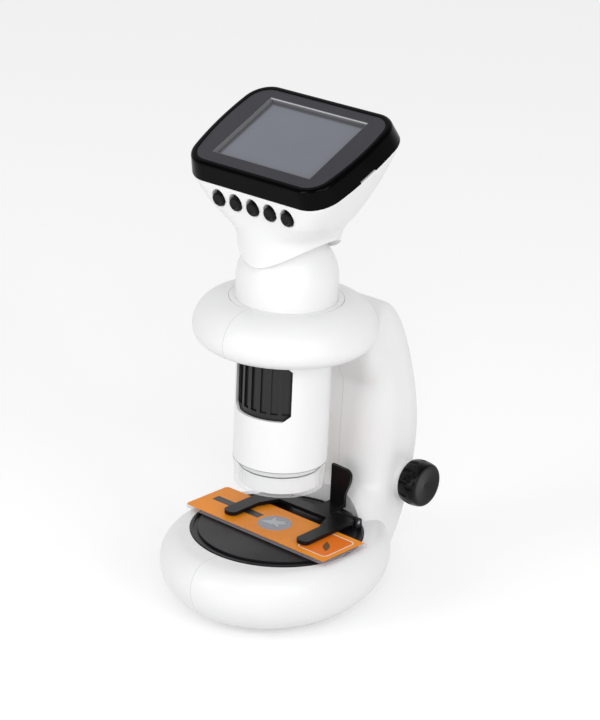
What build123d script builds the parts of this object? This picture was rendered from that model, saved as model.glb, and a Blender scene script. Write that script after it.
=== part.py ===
from build123d import *
import os
from math import cos, pi, radians, sin, tan

# A small digital microscope: a C-shaped white stand with a stage and slide clip on its base,
# and a handset with a tilted LCD head that stands in the collar at the top of the stand.
# Millimetres. Z is up, the origin is on the table under the optical axis,
# the arm is behind (+Y) and the stage knob is on the right (+X).

# ---------------------------------------------------------------- fits
RUN_CLEARANCE = 0.06       # radial, shaft in bush and neck in ring
BODY_GAP = 0.3             # between pieces that move past each other
SEAT_GAP = 0.1             # under a piece that rests on its seat

# ---------------------------------------------------------------- stand
WALL = 2.4
BASE_HALF_WIDTH = 43.9
BASE_HALF_DEPTH = 51.3
BASE_WIDEST_Z = 22.5
BASE_TOP_Z = 32.3
BASE_LOWER_ROUND = 30.0
BASE_UPPER_ROUND = 7.4
ARM_WIDTH = 38.0
ARM_DEPTH = 36.0
ARM_MID_Y = 56.0
ARM_CORNER = 14.0
ARM_BEND_LOW_Z = 53.0
ARM_BEND_HIGH_Z = 70.0
ARM_FOOT_Y = 21.0
ARM_FOOT_Z = 18.0
ARM_FOOT_WIDTH = 62.0
ARM_FOOT_DEPTH = 23.0
ARM_HEAD_Y = 14.0
ARM_HEAD_Z = 121.5
ARM_HEAD_DEPTH = 13.8
ARM_HEAD_WIDTH = 58.0
COLLAR_RADIUS = 37.0
COLLAR_TOP_Z = 133.3
COLLAR_THICKNESS = 19.0
COLLAR_WIDEST_Z = 121.5
COLLAR_TOP_FLAT_RADIUS = 24.5
COLLAR_UNDER_FLAT_RADIUS = 30.0
RING_RADIUS = 22.76        # turning ring that lines the collar
RING_LIP = 1.6
RING_EDGE = 0.35           # chamfer of the collar's edge round the ring
PAD_HALF_WIDTH = 21.0
PAD_HALF_DEPTH = 30.0
PAD_MID_Y = 4.0
PAD_THICKNESS = 0.9
BASE_PLATE_THICKNESS = 2.0
BALLAST_THICKNESS = 5.0
BALLAST_INSET = 3.0

# ---------------------------------------------------------------- stage
STAGE_RADIUS = 35.4
STAGE_SUNK = 1.6           # how deep the stage sits in the top of the foot
STAGE_RIM_PROUD = 0.3
STAGE_RIM_WIDTH = 1.2
STAGE_LEDGE_RADIUS = 32.4  # raised round field that carries the slide
STAGE_FIELD_Z = 33.1
STAGE_RECESS = 0.5
STAGE_EDGE_ROUND = 0.3
DIFFUSER_RADIUS = 11.0
DIFFUSER_THICKNESS = 1.0
POST_RADIUS = 12.0
POST_WALL = 2.5
POST_FOOT_Z = 13.8
BEAM_THICKNESS = 3.6
SLIDER_WIDTH = 9.0
SLIDER_DEPTH = 4.0
SLIDER_TOP_Z = 56.0
RACK_LOW_Z = 28.0
RACK_HIGH_Z = 52.0
GUIDE_LOW_Z = 24.0
GUIDE_HIGH_Z = 62.0

# ---------------------------------------------------------------- stage drive
KNOB_Y = 59.0
KNOB_Z = 43.2
KNOB_RADIUS = 9.8          # at its belly
KNOB_REAR_RADIUS = 8.9
KNOB_FRONT_RADIUS = 9.0
KNOB_WIDTH = 9.0
KNOB_LIP_ROUND = 1.2
KNOB_REAR_CHAMFER = 0.6
KNOB_FLUTES = 12
KNOB_FLUTE_DEPTH = 0.75
KNOB_FLUTE_END = 2.6       # plain band in front of the flutes
KNOB_FACE_RADIUS = 7.3
KNOB_BOSS_RADIUS = 8.0
KNOB_BOSS_HEIGHT = 2.6
KNOB_CONE_DEPTH = 1.5
KNOB_CONE_FLOOR = 0.4      # thickness left under the cone
KNOB_FLUTE_RADIUS = 1.7
BUSH_LENGTH = 6.5
BUSH_BOSS_RADIUS = 5.0
SHAFT_RADIUS = 2.0
GEAR_MODULE = 1.0
PINION_TEETH = 11
PINION_WIDTH = 7.0
TOOTH_ADDENDUM = 0.9
TOOTH_DEDENDUM = 1.2
TOOTH_PRESSURE_ANGLE = 20.0
TOOTH_BACKLASH = 0.22
BUSH_WALL = 1.2

# ---------------------------------------------------------------- slide clip
CLIP_ARM_X = 19.6
CLIP_ARM_WIDTH = 6.2
CLIP_THICKNESS = 1.6
CLIP_TIP_Y = -8.6
CLIP_HINGE_Y = 24.0
CLIP_HINGE_Z = 35.3
CLIP_KNUCKLE_RADIUS = 1.9
CLIP_KNUCKLE_X = 18.6
CLIP_KNUCKLE_WIDTH = 6.0
CLIP_LUG_WIDTH = 1.6
LUG_ROOT = 1.2             # depth of the ears in the stage
CLIP_PIN_RADIUS = 0.75
CLIP_PAD_HEIGHT = 0.3
CLIP_BRIDGE_Y = 16.0
CLIP_ROOT = 0.5            # how far the arms run into the bridge
CLIP_FLARE_WIDTH = 4.0
CLIP_FLARE_LENGTH = 9.0
LEVER_WIDTH = 10.2
LEVER_LEFT_X = 2.4
LEVER_TOP_Z = 53.0
LEVER_THICKNESS = 1.5
LEVER_Y = 29.0
LEVER_WAIST = 2.8          # how far the foot of the lever is narrower than its top
LEVER_CORNER = 3.0
LEVER_SLANT = 0.4
LEVER_FOOT_HEIGHT = 3.5

# ---------------------------------------------------------------- specimen slide
SLIDE_LENGTH = 77.5
SLIDE_WIDTH = 25.6
SLIDE_CORNER = 2.0
SLIDE_THICKNESS = 1.25
LABEL_THICKNESS = 0.25
LABEL_EDGE = 0.35          # clear edge round the label
LABEL_END = 1.5            # clear strip at the right end
SLIDE_MID_X = -1.1
SLIDE_MID_Y = -0.2
SLIDE_TURN = -1.2
SLIDE_WINDOW_RADIUS = 7.0
SLIDE_NOTCH_RADIUS = 2.9
SLIDE_NOTCH_DEPTH = 1.1

# ---------------------------------------------------------------- handset
BARREL_RADIUS = 19.06
BARREL_WALL = 1.3
BARREL_SHOULDER = 1.2      # ledge over the wheel that carries the sensor board
BARREL_SEAM_Z = 65.4
TIP_Z = 54.5
TIP_FOOT_RADIUS = 18.2
TIP_WALL = 1.5
TIP_BAND = 0.8             # straight band under the seam
NECK_RADIUS = 20.35
NECK_WALL = 2.0
DOME_CENTRE_Z = 141.5
SWIVEL_TILT = 7.6          # lean of the swivel plane
SWIVEL_TURN = 49.9         # which way it leans, from the front towards the left
SWIVEL_HEIGHT = 11.2       # swivel plane above the dome's centre
FOCUS_WINDOW_LOW_Z = 87.1
FOCUS_WINDOW_HIGH_Z = 110.9
FOCUS_WINDOW_ANGLE = 87.5
FOCUS_WINDOW_TURN = 7.7
FOCUS_WINDOW_CORNER = 2.6
WHEEL_RIBS = 24
WHEEL_RIB_DEPTH = 0.9
WHEEL_RIB_WIDTH = 1.6
WHEEL_WALL = 1.8
WHEEL_OVERLAP = 2.4        # how far the wheel runs past the window, above and below
RETAINER_THICKNESS = 1.8
RETAINER_LEDGE = 1.0
LENS_BARREL_RADIUS = 8.0
LENS_BARREL_WALL = 1.8
LENS_BARREL_LOW_Z = 75.0
LENS_BARREL_HIGH_Z = 100.0
LENS_THICKNESS = 3.0
LENS_SETBACK = 1.0
LENS_FLANGE_Z = 96.0
LENS_FLANGE_THICKNESS = 2.0
GUIDE_ROD_X = 11.5
GUIDE_ROD_RADIUS = 1.0
ROD_PLATE_RIM = 1.6
BOARD_THICKNESS = 1.4
SENSOR_SIZE = 8.0
SENSOR_THICKNESS = 1.4
LED_COUNT = 8
LED_RADIUS = 1.2
LED_HEIGHT = 1.8
LED_CIRCLE_RADIUS = 11.0
CUP_RADIUS = 16.4
CUP_WALL = 1.0
CUP_RIM_HEIGHT = 1.0
CUP_RAISE = 0.8
SPIGOT_LENGTH = 6.0

# ---------------------------------------------------------------- head
SKIRT_RADIUS = 20.3
SKIRT_EDGE_ROUND = 1.6
SKIRT_TOP_Z = 162.0
SCREEN_TILT = 24.9
SCREEN_CENTRE_Y = -1.19
SCREEN_CENTRE_Z = 196.75
SCREEN_WIDTH = 49.4
SCREEN_HEIGHT = 37.0
SCREEN_RECESS = 2.0
BEZEL_HALF_WIDTH = 36.7
BEZEL_BACK_HALF_WIDTH = 34.9
BEZEL_FRONT_HALF_WIDTH = 33.0
BEZEL_FRONT = 26.2
BEZEL_BACK = 25.2
BEZEL_CORNER = 10.5
BEZEL_DEPTH = 8.0
BEZEL_FLARE = 1.6
BEZEL_LIP = 0.3
BEZEL_EDGE_ROUND = 1.6
PANEL_INSET = 2.2
PANEL_GAP = 0.1
NOTCH_Y = -1.5             # finger notch in the right side of the bezel
NOTCH_LENGTH = 9.0
NOTCH_HEIGHT = 0.9
NOTCH_DEPTH = 1.6
LCD_BORDER = 1.6
LCD_THICKNESS = 2.6
LCD_LEDGE = 3.0            # the bezel's ledge under the display
SHELL_MID_HALF_WIDTH = 33.7
SHELL_MID_BACK_HALF_WIDTH = 32.0
SHELL_MID_FRONT_HALF_WIDTH = 26.5
SHELL_MID_FRONT = 29.5
SHELL_MID_BACK = 19.7
SHELL_MID_CORNER = 15.0
SHELL_MID_DROP = 16.1      # below the screen's plane
PIVOT_RADIUS = 7.0
PIVOT_WALL = 1.6
PIVOT_FLANGE_RADIUS = 9.5
PIVOT_FLANGE_THICKNESS = 1.4
MAIN_BOARD_WIDTH = 56.0
MAIN_BOARD_HEIGHT = 36.0
BATTERY_WIDTH = 40.0
BATTERY_HEIGHT = 24.0
BATTERY_THICKNESS = 5.0
HEAD_WALL = 2.2
BUTTON_COUNT = 5
BUTTON_PITCH = 8.7
BUTTON_RADIUS = 2.85
BUTTON_GAP = 0.2
BUTTON_Z = 173.8
BUTTON_FACE_Y = -22.2      # the shell's front face at the buttons
BUTTON_LEAN = 13.9
BUTTON_PROUD = 0.9
BUTTON_TAIL = 1.2          # length inside the shell
BUTTON_DOME = 0.65


# ---------------------------------------------------------------- worked-out sizes
COLLAR_UNDER_Z = COLLAR_TOP_Z - COLLAR_THICKNESS
BALLAST_Z = PAD_THICKNESS + BASE_PLATE_THICKNESS
RING_BORE = NECK_RADIUS + RUN_CLEARANCE
RING_SEAT_Z = COLLAR_UNDER_Z + RING_LIP
NECK_FOOT_Z = RING_SEAT_Z + SEAT_GAP
BUSH_OUTER_X = ARM_WIDTH / 2 - WALL
STAGE_FLOOR_Z = BASE_TOP_Z - STAGE_SUNK
STAGE_FOOT_Z = STAGE_FLOOR_Z + BODY_GAP
STAGE_RIM_Z = BASE_TOP_Z + STAGE_RIM_PROUD
BARREL_BORE = BARREL_RADIUS - BARREL_WALL
BOARD_RADIUS = BARREL_BORE - BARREL_SHOULDER
WHEEL_LOW_Z = FOCUS_WINDOW_LOW_Z - WHEEL_OVERLAP
WHEEL_HIGH_Z = FOCUS_WINDOW_HIGH_Z + WHEEL_OVERLAP
WHEEL_RADIUS = BARREL_BORE - BODY_GAP
WHEEL_BORE = WHEEL_RADIUS - WHEEL_WALL
RETAINER_LOW_Z = WHEEL_LOW_Z - BODY_GAP - RETAINER_THICKNESS
RETAINER_BORE = WHEEL_BORE - RETAINER_LEDGE
BOARD_Z = WHEEL_HIGH_Z + BODY_GAP + BARREL_SHOULDER
LAMP_SEAT_Z = BARREL_SEAM_Z + CUP_RIM_HEIGHT
CLIP_LUG_XS = [
    side * (CLIP_KNUCKLE_X + end * (CLIP_KNUCKLE_WIDTH / 2 + BODY_GAP + CLIP_LUG_WIDTH / 2))
    for side in (-1, 1) for end in (-1, 1)
]
RACK_PITCH_Y = KNOB_Y - PINION_TEETH * GEAR_MODULE / 2
SLIDE_FOOT_Z = STAGE_FIELD_Z + SEAT_GAP
SLIDE_TOP_Z = SLIDE_FOOT_Z + SLIDE_THICKNESS + LABEL_THICKNESS
CLIP_REST_Z = SLIDE_TOP_Z + SEAT_GAP
BEZEL_TOP = BEZEL_LIP + SCREEN_RECESS
BEZEL_FOOT = BEZEL_TOP - BEZEL_DEPTH
SWIVEL_AXIS = Vector(
    -sin(radians(SWIVEL_TILT)) * sin(radians(SWIVEL_TURN)),
    -sin(radians(SWIVEL_TILT)) * cos(radians(SWIVEL_TURN)),
    cos(radians(SWIVEL_TILT)),
)
SWIVEL = Plane(
    origin=Vector(0, 0, DOME_CENTRE_Z) + SWIVEL_AXIS * SWIVEL_HEIGHT,
    x_dir=(cos(radians(SWIVEL_TURN)), -sin(radians(SWIVEL_TURN)), 0),
    z_dir=SWIVEL_AXIS,
)
SCREEN = Plane(
    origin=(0, SCREEN_CENTRE_Y, SCREEN_CENTRE_Z),
    x_dir=(1, 0, 0),
    z_dir=(0, -sin(radians(SCREEN_TILT)), cos(radians(SCREEN_TILT))),
)


# ---------------------------------------------------------------- simple forms
def rod(radius, low, high):
    """An upright round bar between two heights."""
    return Pos(0, 0, low) * extrude(Circle(radius), high - low)


def tube(outer, inner, low, high):
    return rod(outer, low, high) - rod(inner, low - 1, high + 1)


def bar(x_span, y_span, z_span):
    """A box from its spans along X, Y and Z."""
    size = [high - low for low, high in (x_span, y_span, z_span)]
    middle = [(high + low) / 2 for low, high in (x_span, y_span, z_span)]
    return Pos(*middle) * Box(*size)


def oval(half_width, half_depth, low, high, middle_y=0.0):
    return Pos(0, middle_y, low) * extrude(Ellipse(half_width, half_depth), high - low)


def cross_rod(radius, left, right, y, z):
    """A round bar along X."""
    return Pos(left, y, z) * Rot(0, 90, 0) * extrude(Circle(radius), right - left)


def turned(*edges):
    """Revolve a closed outline in the XZ plane about Z."""
    return revolve(Plane.XZ * Face(Wire(list(edges))), axis=Axis.Z)


def turned_points(*points):
    return turned(*Polyline(*points, close=True).edges())


# ---------------------------------------------------------------- stand
def base_form(inset=0.0):
    """The pebble-shaped foot, as a turned form stretched front to back."""
    half_width = BASE_HALF_WIDTH - inset
    low, high = inset, BASE_TOP_Z - inset
    flat_low = BASE_HALF_WIDTH - BASE_LOWER_ROUND
    flat_high = BASE_HALF_WIDTH - BASE_UPPER_ROUND
    lower = EllipticalCenterArc((flat_low, BASE_WIDEST_Z), half_width - flat_low, BASE_WIDEST_Z - low, 270)
    upper = EllipticalCenterArc((flat_high, BASE_WIDEST_Z), half_width - flat_high, high - BASE_WIDEST_Z, 0)
    form = turned(
        Line((0, low), (flat_low, low)),
        lower,
        upper,
        Line((flat_high, high), (0, high)),
        Line((0, high), (0, low)),
    )
    return scale(form, by=(1, (BASE_HALF_DEPTH - inset) / half_width, 1))


def arm_section(middle_y, middle_z, lean, width, depth, inset):
    """A rounded slice across the arm; lean is its turn from level, in degrees."""
    plane = Plane(
        origin=(0, middle_y, middle_z),
        x_dir=(1, 0, 0),
        z_dir=(0, -sin(radians(lean)), cos(radians(lean))),
    )
    corner = ARM_CORNER * depth / ARM_DEPTH - inset
    return plane * RectangleRounded(width - 2 * inset, depth - 2 * inset, corner)


def arm_form(inset=0.0):
    """The C-shaped arm: out of the foot, up the back and over into the collar."""
    sections = []
    for lean in (-90, -60, -30, 0):
        share = -lean / 90
        sections.append(arm_section(
            ARM_FOOT_Y + (ARM_MID_Y - ARM_FOOT_Y) * cos(radians(lean)),
            ARM_BEND_LOW_Z + (ARM_BEND_LOW_Z - ARM_FOOT_Z) * sin(radians(lean)),
            lean,
            ARM_WIDTH + (ARM_FOOT_WIDTH - ARM_WIDTH) * share ** 2,
            ARM_DEPTH + (ARM_FOOT_DEPTH - ARM_DEPTH) * share,
            inset,
        ))
    for lean in (0, 30, 60, 90):
        share = lean / 90
        sections.append(arm_section(
            ARM_HEAD_Y + (ARM_MID_Y - ARM_HEAD_Y) * cos(radians(lean)),
            ARM_BEND_HIGH_Z + (ARM_HEAD_Z - ARM_BEND_HIGH_Z) * sin(radians(lean)),
            lean,
            ARM_WIDTH + (ARM_HEAD_WIDTH - ARM_WIDTH) * share ** 3,
            ARM_DEPTH + (ARM_HEAD_DEPTH - ARM_DEPTH) * share,
            inset,
        ))
    return loft(sections)


def collar_form():
    """The swollen ring that holds the handset."""
    upper = EllipticalCenterArc(
        (COLLAR_TOP_FLAT_RADIUS, COLLAR_WIDEST_Z),
        COLLAR_RADIUS - COLLAR_TOP_FLAT_RADIUS, COLLAR_TOP_Z - COLLAR_WIDEST_Z, 0)
    lower = EllipticalCenterArc(
        (COLLAR_UNDER_FLAT_RADIUS, COLLAR_WIDEST_Z),
        COLLAR_RADIUS - COLLAR_UNDER_FLAT_RADIUS, COLLAR_WIDEST_Z - COLLAR_UNDER_Z, 270)
    return turned(
        Line((0, COLLAR_UNDER_Z), (COLLAR_UNDER_FLAT_RADIUS, COLLAR_UNDER_Z)),
        lower,
        upper,
        Line((COLLAR_TOP_FLAT_RADIUS, COLLAR_TOP_Z), (0, COLLAR_TOP_Z)),
        Line((0, COLLAR_TOP_Z), (0, COLLAR_UNDER_Z)),
    )


def foot_oval(shrink, low, high):
    return oval(PAD_HALF_WIDTH - shrink, PAD_HALF_DEPTH - shrink, low, high, PAD_MID_Y)


def stand_shell():
    """Both halves of the stand as one hollow moulding, before it is split."""
    shell = base_form() + arm_form() + collar_form()
    guide_middle = ARM_MID_Y - ARM_DEPTH / 2
    boss_end = ARM_WIDTH / 2 + KNOB_BOSS_HEIGHT
    shell += cross_rod(KNOB_BOSS_RADIUS, ARM_WIDTH / 2 - WALL, boss_end, KNOB_Y, KNOB_Z)
    cavity = base_form(WALL) + arm_form(WALL)
    cavity -= rod(COLLAR_RADIUS, COLLAR_UNDER_Z - WALL, COLLAR_TOP_Z)
    stage_room = STAGE_RADIUS + BODY_GAP
    cavity -= rod(stage_room + WALL, STAGE_FLOOR_Z - WALL, ARM_BEND_LOW_Z)
    for side in (-1, 1):
        web_in = SLIDER_WIDTH / 2 + BODY_GAP
        cavity -= bar(
            sorted((side * web_in, side * ARM_WIDTH)),
            (guide_middle, slider_front_y() + SLIDER_DEPTH),
            (GUIDE_LOW_Z, GUIDE_HIGH_Z))
        inner = ARM_WIDTH / 2 - BUSH_LENGTH
        cavity -= cross_rod(BUSH_BOSS_RADIUS, *sorted((side * inner, side * ARM_WIDTH / 2)), KNOB_Y, KNOB_Z)
    shell -= cavity
    shell -= rod(stage_room, STAGE_FLOOR_Z, ARM_BEND_LOW_Z)
    shell -= foot_oval(0, -1, WALL + BALLAST_Z)
    shell -= rod(RING_RADIUS + RUN_CLEARANCE, COLLAR_UNDER_Z - 1, COLLAR_TOP_Z + 1)
    shell -= Pos(0, 0, COLLAR_TOP_Z) * Cone(
        RING_RADIUS + RUN_CLEARANCE, RING_RADIUS + RUN_CLEARANCE + 2 * RING_EDGE, 2 * RING_EDGE)
    shell -= rod(POST_RADIUS + BODY_GAP, STAGE_FLOOR_Z - 2 * WALL, BASE_TOP_Z)
    bush = SHAFT_RADIUS + RUN_CLEARANCE + BUSH_WALL
    shell -= cross_rod(bush, -BUSH_OUTER_X, boss_end + 1, KNOB_Y, KNOB_Z)
    return shell


def slider_front_y():
    return ARM_MID_Y - ARM_DEPTH / 2 + WALL + BODY_GAP


def half_of(shape, side):
    reach = 300.0
    return shape & (Pos(side * reach / 2, 0, 0) * Box(reach, reach, 2 * reach))


def turn_ring():
    """The ring that lines the collar; its lip carries the handset."""
    ring = tube(RING_RADIUS, RING_BORE, RING_SEAT_Z, COLLAR_TOP_Z)
    return ring + tube(RING_RADIUS, BARREL_RADIUS + BODY_GAP, COLLAR_UNDER_Z, RING_SEAT_Z)


def shaft_bushes():
    outer = SHAFT_RADIUS + RUN_CLEARANCE + BUSH_WALL
    bore = SHAFT_RADIUS + RUN_CLEARANCE
    spans = (
        (-BUSH_OUTER_X, -ARM_WIDTH / 2 + BUSH_LENGTH),
        (ARM_WIDTH / 2 - BUSH_LENGTH, ARM_WIDTH / 2 + KNOB_BOSS_HEIGHT),
    )
    bushes = []
    for left, right in spans:
        sleeve = cross_rod(outer, left, right, KNOB_Y, KNOB_Z)
        bushes.append(sleeve - cross_rod(bore, left - 1, right + 1, KNOB_Y, KNOB_Z))
    return Compound(bushes)


# ---------------------------------------------------------------- stage and its drive
def stage_disc():
    """The black stage: a rim, a lower band and a raised round field with a window seat."""
    band_z = STAGE_RIM_Z - STAGE_RECESS
    disc = rod(STAGE_RADIUS, STAGE_FOOT_Z, STAGE_RIM_Z)
    disc = fillet(disc.edges().group_by(Axis.Z)[-1], STAGE_EDGE_ROUND)
    disc -= tube(STAGE_RADIUS - STAGE_RIM_WIDTH, STAGE_LEDGE_RADIUS, band_z, STAGE_RIM_Z + 1)
    field = rod(STAGE_LEDGE_RADIUS, band_z, STAGE_FIELD_Z)
    field = fillet(field.edges().group_by(Axis.Z)[-1], STAGE_EDGE_ROUND)
    disc += field
    disc -= rod(DIFFUSER_RADIUS, STAGE_FIELD_Z - DIFFUSER_THICKNESS, STAGE_FIELD_Z + 1)
    disc -= rod(POST_RADIUS - POST_WALL, STAGE_FOOT_Z - 1, STAGE_FIELD_Z)
    for x in CLIP_LUG_XS:
        disc += clip_lug(x)
    return disc


def clip_lug(x):
    """An ear on the stage that holds an end of a clip pin."""
    half = CLIP_LUG_WIDTH / 2
    ear = cross_rod(CLIP_KNUCKLE_RADIUS, x - half, x + half, CLIP_HINGE_Y, CLIP_HINGE_Z)
    low = STAGE_FIELD_Z - LUG_ROOT
    ear += bar(
        (x - half, x + half),
        (CLIP_HINGE_Y - CLIP_KNUCKLE_RADIUS, CLIP_HINGE_Y + CLIP_KNUCKLE_RADIUS),
        (low, CLIP_HINGE_Z))
    return ear - cross_rod(CLIP_PIN_RADIUS, x - half - 1, x + half + 1, CLIP_HINGE_Y, CLIP_HINGE_Z)


def stage_carriage():
    """The post under the stage, its beam through the foot and the upright slider in the arm."""
    top = STAGE_FOOT_Z
    half = SLIDER_WIDTH / 2
    front = slider_front_y()
    carriage = rod(POST_RADIUS, POST_FOOT_Z, top)
    carriage += bar((-half, half), (0, front + SLIDER_DEPTH), (POST_FOOT_Z, POST_FOOT_Z + BEAM_THICKNESS))
    carriage += bar((-half, half), (front, front + SLIDER_DEPTH), (POST_FOOT_Z, SLIDER_TOP_Z))
    return carriage - rod(POST_RADIUS - POST_WALL, POST_FOOT_Z + BEAM_THICKNESS, top + 1)


def tooth(base, base_half, tip, tip_half):
    """A straight-sided tooth that grows along local Y, from base to tip."""
    points = ((-base_half, base), (base_half, base), (tip_half, tip), (-tip_half, tip))
    return make_face(Polyline(*points, close=True))


def pitch_half_width():
    return pi * GEAR_MODULE / 4 - TOOTH_BACKLASH / 2


def stage_rack():
    """The toothed bar on the back of the slider."""
    lean = tan(radians(TOOTH_PRESSURE_ANGLE))
    root = RACK_PITCH_Y - TOOTH_DEDENDUM
    half = SLIDER_WIDTH / 2
    rack = bar((-half, half), (slider_front_y() + SLIDER_DEPTH, root), (RACK_LOW_Z, RACK_HIGH_Z))
    pitch = pi * GEAR_MODULE
    section = tooth(
        -TOOTH_DEDENDUM - 0.2, pitch_half_width() + TOOTH_DEDENDUM * lean,
        TOOTH_ADDENDUM, pitch_half_width() - TOOTH_ADDENDUM * lean)
    face = Plane(origin=(-PINION_WIDTH / 2, RACK_PITCH_Y, 0), x_dir=(0, 0, -1), z_dir=(1, 0, 0)) * section
    one = extrude(face, PINION_WIDTH)
    below = int((KNOB_Z - RACK_LOW_Z) / pitch)
    above = int((RACK_HIGH_Z - KNOB_Z) / pitch)
    for step in range(-below, above):
        rack += Pos(0, 0, KNOB_Z + (step + 0.5) * pitch) * one
    return rack


def knob_pinion():
    """The small gear on the knob's shaft, with a tooth pointing at the rack."""
    radius = PINION_TEETH * GEAR_MODULE / 2
    lean = tan(radians(TOOTH_PRESSURE_ANGLE))
    root = radius - TOOTH_DEDENDUM
    section = Circle(root)
    one = tooth(
        root - 0.4, pitch_half_width() + TOOTH_DEDENDUM * lean / 2,
        radius + TOOTH_ADDENDUM, pitch_half_width() - TOOTH_ADDENDUM * lean)
    for step in range(PINION_TEETH):
        section += Rot(0, 0, 90 + step * 360 / PINION_TEETH) * one
    section -= Circle(SHAFT_RADIUS)
    plane = Plane(origin=(-PINION_WIDTH / 2, KNOB_Y, KNOB_Z), x_dir=(0, 1, 0), z_dir=(1, 0, 0))
    return extrude(plane * section, PINION_WIDTH)


def knob_start_x():
    return ARM_WIDTH / 2 + KNOB_BOSS_HEIGHT + BODY_GAP


def knob_shaft():
    start = -BUSH_OUTER_X + BODY_GAP
    return cross_rod(SHAFT_RADIUS, start, knob_start_x() + KNOB_WIDTH / 2, KNOB_Y, KNOB_Z)


def knob_flute():
    """A groove down the knob's side with a round front end, cut by a rod and a ball."""
    end = KNOB_WIDTH - KNOB_FLUTE_END - KNOB_FLUTE_RADIUS
    groove = rod(KNOB_FLUTE_RADIUS, -1, end) + Pos(0, 0, end) * Sphere(KNOB_FLUTE_RADIUS)
    return Pos(KNOB_RADIUS + KNOB_FLUTE_RADIUS - KNOB_FLUTE_DEPTH, 0, 0) * groove


def knob_grip():
    """The bellied knob, turned about its axis, with flutes cut round it."""
    rear, front = (KNOB_REAR_RADIUS, 0), (KNOB_FRONT_RADIUS, KNOB_WIDTH)
    grip = turned(
        Line((0, 0), rear),
        ThreePointArc(rear, (KNOB_RADIUS, KNOB_WIDTH / 2), front),
        Line(front, (0, KNOB_WIDTH)),
        Line((0, KNOB_WIDTH), (0, 0)),
    )
    grip = fillet(grip.edges().group_by(Axis.Z)[-1], KNOB_LIP_ROUND)
    grip = chamfer(grip.edges().group_by(Axis.Z)[0], KNOB_REAR_CHAMFER)
    for step in range(KNOB_FLUTES):
        grip -= Rot(0, 0, (step + 0.5) * 360 / KNOB_FLUTES) * knob_flute()
    grip -= Pos(0, 0, KNOB_WIDTH - KNOB_CONE_DEPTH) * extrude(Circle(KNOB_FACE_RADIUS), KNOB_WIDTH)
    grip -= Pos(0, 0, -1) * extrude(Circle(SHAFT_RADIUS), 1 + KNOB_WIDTH / 2)
    return Pos(knob_start_x(), KNOB_Y, KNOB_Z) * Rot(0, 90, 0) * grip


def knob_cap():
    """The disc let into the knob's face, dished to a shallow cone."""
    cap = turned_points(
        (0, 0), (KNOB_FACE_RADIUS, 0), (KNOB_FACE_RADIUS, KNOB_CONE_DEPTH), (0, KNOB_CONE_FLOOR))
    start = knob_start_x() + KNOB_WIDTH - KNOB_CONE_DEPTH
    return Pos(start, KNOB_Y, KNOB_Z) * Rot(0, 90, 0) * cap


# ---------------------------------------------------------------- slide clip
def clip_frame():
    """The sprung clip: two arms, a bridge, hinge knuckles and an upright thumb lever."""
    low = CLIP_REST_Z + CLIP_PAD_HEIGHT
    high = low + CLIP_THICKNESS
    knuckle_front = CLIP_HINGE_Y - CLIP_KNUCKLE_RADIUS - BODY_GAP
    reach = CLIP_ARM_X + CLIP_ARM_WIDTH / 2
    plate = bar((-reach, reach), (CLIP_BRIDGE_Y, knuckle_front), (low, high))
    for side in (-1, 1):
        x = side * CLIP_ARM_X
        half = CLIP_ARM_WIDTH / 2
        arm = bar((x - half, x + half), (CLIP_TIP_Y, CLIP_BRIDGE_Y + CLIP_ROOT), (low, high))
        arm = fillet(arm.edges().filter_by(Axis.Z).group_by(Axis.Y)[0], half * 0.8)
        foot = Pos(x, CLIP_TIP_Y + half, CLIP_REST_Z) * extrude(Circle(half * 0.7), CLIP_PAD_HEIGHT)
        corners = ((half, CLIP_ROOT), (half + CLIP_FLARE_WIDTH, CLIP_ROOT), (half, -CLIP_FLARE_LENGTH))
        web = make_face(Polyline(*[(-side * across, along) for across, along in corners], close=True))
        flare = Pos(x, CLIP_BRIDGE_Y, low) * extrude(web, CLIP_THICKNESS)
        plate += arm + foot + flare
        x = side * CLIP_KNUCKLE_X
        half = CLIP_KNUCKLE_WIDTH / 2
        knuckle = cross_rod(CLIP_KNUCKLE_RADIUS, x - half, x + half, CLIP_HINGE_Y, CLIP_HINGE_Z)
        knuckle += bar((x - half, x + half), (knuckle_front - CLIP_ROOT, CLIP_HINGE_Y), (low, high))
        plate += knuckle
        plate -= cross_rod(
            CLIP_PIN_RADIUS + RUN_CLEARANCE, x - half - 1, x + half + 1, CLIP_HINGE_Y, CLIP_HINGE_Z)
    back = LEVER_Y + LEVER_THICKNESS
    right = LEVER_LEFT_X + LEVER_WIDTH
    waist = right - LEVER_WAIST
    plate += bar((LEVER_LEFT_X, waist), (knuckle_front - CLIP_ROOT, back), (low, high))
    top_left, foot_left = (LEVER_LEFT_X, LEVER_TOP_Z), (LEVER_LEFT_X, low)
    shoulder = (right - LEVER_CORNER, LEVER_TOP_Z - LEVER_SLANT)
    corner_end = (right, LEVER_TOP_Z - LEVER_SLANT - LEVER_CORNER)
    waist_top, foot_right = (waist, low + LEVER_FOOT_HEIGHT), (waist, low)
    outline = Wire([
        Line(foot_left, top_left),
        Line(top_left, shoulder),
        RadiusArc(shoulder, corner_end, LEVER_CORNER),
        Spline(corner_end, waist_top, tangents=[(0, -1), (0, -1)]),
        Line(waist_top, foot_right),
        Line(foot_right, foot_left),
    ])
    face = Plane(origin=(0, back, 0), x_dir=(1, 0, 0), z_dir=(0, -1, 0)) * Face(outline)
    return plate + extrude(face, LEVER_THICKNESS)


def clip_pins():
    half = CLIP_KNUCKLE_WIDTH / 2 + BODY_GAP + CLIP_LUG_WIDTH
    pin = cross_rod(CLIP_PIN_RADIUS, -half, half, CLIP_HINGE_Y, CLIP_HINGE_Z)
    return Compound([Pos(side * CLIP_KNUCKLE_X, 0, 0) * pin for side in (-1, 1)])


# ---------------------------------------------------------------- specimen slide
SLIDE_PLACE = Pos(SLIDE_MID_X, SLIDE_MID_Y, SLIDE_FOOT_Z) * Rot(0, 0, SLIDE_TURN)


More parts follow.
